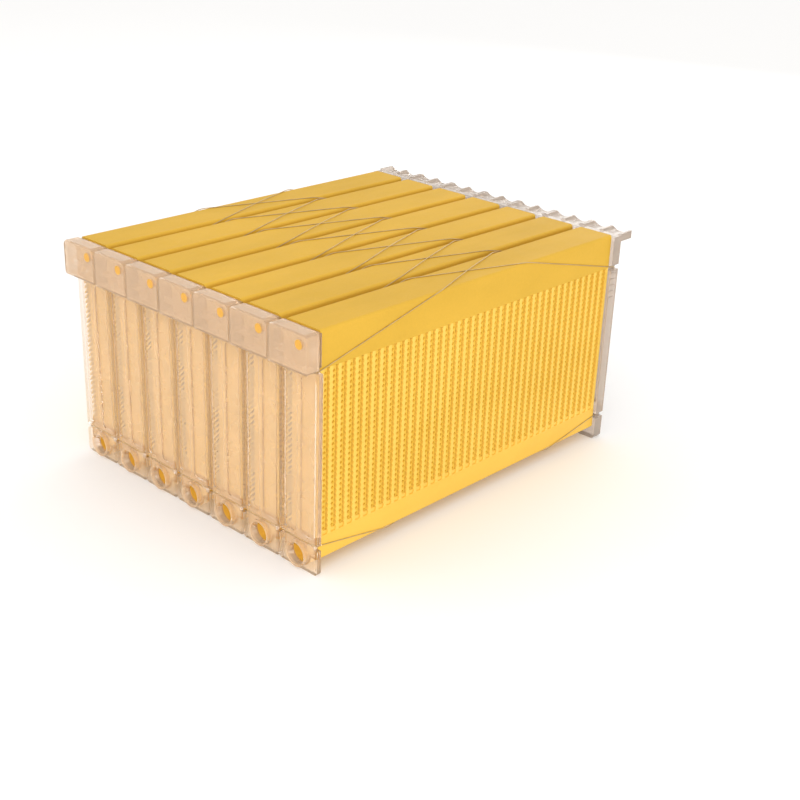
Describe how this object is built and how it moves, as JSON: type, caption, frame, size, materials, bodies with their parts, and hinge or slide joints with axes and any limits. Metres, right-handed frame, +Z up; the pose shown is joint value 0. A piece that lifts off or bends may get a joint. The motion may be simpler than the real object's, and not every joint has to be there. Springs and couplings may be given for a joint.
{
  "type": "self-draining honey frame set",
  "caption": "Block of self-draining honey harvesting frames: clear ends, yellow split-cell comb, covers and troughs, steel tension wires.",
  "frame": {"origin": "middle of the bounding box's footprint, on the surface that the frames stand on", "axes": "+X across the frames, +Y along them towards the hanging ledges, +Z up; the key caps and honey outlets face -Y"},
  "size_m": [0.3634, 0.482, 0.244],
  "materials": {
    "yellow_plastic": "satin moulded",
    "clear_plastic": "clear moulded, with a light haze",
    "steel_wire": "drawn"
  },
  "bodies": {
    "frame_1": {"top_cover_1": "yellow_plastic", "fixed_slats_1": "yellow_plastic", "honey_trough_1": "yellow_plastic", "key_end_1": "clear_plastic", "hanger_end_1": "clear_plastic", "tension_wires_1": "steel_wire"},
    "slats_1": {"moving_slats_1": "yellow_plastic"},
    "cap_1": {"key_cap_1": "clear_plastic"},
    "frame_2": {"top_cover_2": "yellow_plastic", "fixed_slats_2": "yellow_plastic", "honey_trough_2": "yellow_plastic", "key_end_2": "clear_plastic", "hanger_end_2": "clear_plastic", "tension_wires_2": "steel_wire"},
    "slats_2": {"moving_slats_2": "yellow_plastic"},
    "cap_2": {"key_cap_2": "clear_plastic"},
    "frame_3": {"top_cover_3": "yellow_plastic", "fixed_slats_3": "yellow_plastic", "honey_trough_3": "yellow_plastic", "key_end_3": "clear_plastic", "hanger_end_3": "clear_plastic", "tension_wires_3": "steel_wire"},
    "slats_3": {"moving_slats_3": "yellow_plastic"},
    "cap_3": {"key_cap_3": "clear_plastic"},
    "frame_4": {"top_cover_4": "yellow_plastic", "fixed_slats_4": "yellow_plastic", "honey_trough_4": "yellow_plastic", "key_end_4": "clear_plastic", "hanger_end_4": "clear_plastic", "tension_wires_4": "steel_wire"},
    "slats_4": {"moving_slats_4": "yellow_plastic"},
    "cap_4": {"key_cap_4": "clear_plastic"},
    "frame_5": {"top_cover_5": "yellow_plastic", "fixed_slats_5": "yellow_plastic", "honey_trough_5": "yellow_plastic", "key_end_5": "clear_plastic", "hanger_end_5": "clear_plastic", "tension_wires_5": "steel_wire"},
    "slats_5": {"moving_slats_5": "yellow_plastic"},
    "cap_5": {"key_cap_5": "clear_plastic"},
    "frame_6": {"top_cover_6": "yellow_plastic", "fixed_slats_6": "yellow_plastic", "honey_trough_6": "yellow_plastic", "key_end_6": "clear_plastic", "hanger_end_6": "clear_plastic", "tension_wires_6": "steel_wire"},
    "slats_6": {"moving_slats_6": "yellow_plastic"},
    "cap_6": {"key_cap_6": "clear_plastic"},
    "frame_7": {"top_cover_7": "yellow_plastic", "fixed_slats_7": "yellow_plastic", "honey_trough_7": "yellow_plastic", "key_end_7": "clear_plastic", "hanger_end_7": "clear_plastic", "tension_wires_7": "steel_wire"},
    "slats_7": {"moving_slats_7": "yellow_plastic"},
    "cap_7": {"key_cap_7": "clear_plastic"}
  },
  "joints": [
    {"name": "frame_1_lift", "type": "slide", "parent": "frame_4", "child": "frame_1", "axis": [0, 0, 1], "range_m": [0, 0.25]},
    {"name": "frame_2_lift", "type": "slide", "parent": "frame_4", "child": "frame_2", "axis": [0, 0, 1], "range_m": [0, 0.25]},
    {"name": "frame_3_lift", "type": "slide", "parent": "frame_4", "child": "frame_3", "axis": [0, 0, 1], "range_m": [0, 0.25]},
    {"name": "frame_5_lift", "type": "slide", "parent": "frame_4", "child": "frame_5", "axis": [0, 0, 1], "range_m": [0, 0.25]},
    {"name": "frame_6_lift", "type": "slide", "parent": "frame_4", "child": "frame_6", "axis": [0, 0, 1], "range_m": [0, 0.25]},
    {"name": "frame_7_lift", "type": "slide", "parent": "frame_4", "child": "frame_7", "axis": [0, 0, 1], "range_m": [0, 0.25]},
    {"name": "slats_1_drop", "type": "slide", "parent": "frame_1", "child": "slats_1", "axis": [0, 0, -1], "range_m": [0, 0.0027]},
    {"name": "cap_1_pull", "type": "slide", "parent": "frame_1", "child": "cap_1", "axis": [0, -1, 0], "range_m": [0, 0.04]},
    {"name": "slats_2_drop", "type": "slide", "parent": "frame_2", "child": "slats_2", "axis": [0, 0, -1], "range_m": [0, 0.0027]},
    {"name": "cap_2_pull", "type": "slide", "parent": "frame_2", "child": "cap_2", "axis": [0, -1, 0], "range_m": [0, 0.04]},
    {"name": "slats_3_drop", "type": "slide", "parent": "frame_3", "child": "slats_3", "axis": [0, 0, -1], "range_m": [0, 0.0027]},
    {"name": "cap_3_pull", "type": "slide", "parent": "frame_3", "child": "cap_3", "axis": [0, -1, 0], "range_m": [0, 0.04]},
    {"name": "slats_4_drop", "type": "slide", "parent": "frame_4", "child": "slats_4", "axis": [0, 0, -1], "range_m": [0, 0.0027]},
    {"name": "cap_4_pull", "type": "slide", "parent": "frame_4", "child": "cap_4", "axis": [0, -1, 0], "range_m": [0, 0.04]},
    {"name": "slats_5_drop", "type": "slide", "parent": "frame_5", "child": "slats_5", "axis": [0, 0, -1], "range_m": [0, 0.0027]},
    {"name": "cap_5_pull", "type": "slide", "parent": "frame_5", "child": "cap_5", "axis": [0, -1, 0], "range_m": [0, 0.04]},
    {"name": "slats_6_drop", "type": "slide", "parent": "frame_6", "child": "slats_6", "axis": [0, 0, -1], "range_m": [0, 0.0027]},
    {"name": "cap_6_pull", "type": "slide", "parent": "frame_6", "child": "cap_6", "axis": [0, -1, 0], "range_m": [0, 0.04]},
    {"name": "slats_7_drop", "type": "slide", "parent": "frame_7", "child": "slats_7", "axis": [0, 0, -1], "range_m": [0, 0.0027]},
    {"name": "cap_7_pull", "type": "slide", "parent": "frame_7", "child": "cap_7", "axis": [0, -1, 0], "range_m": [0, 0.04]}
  ]
}
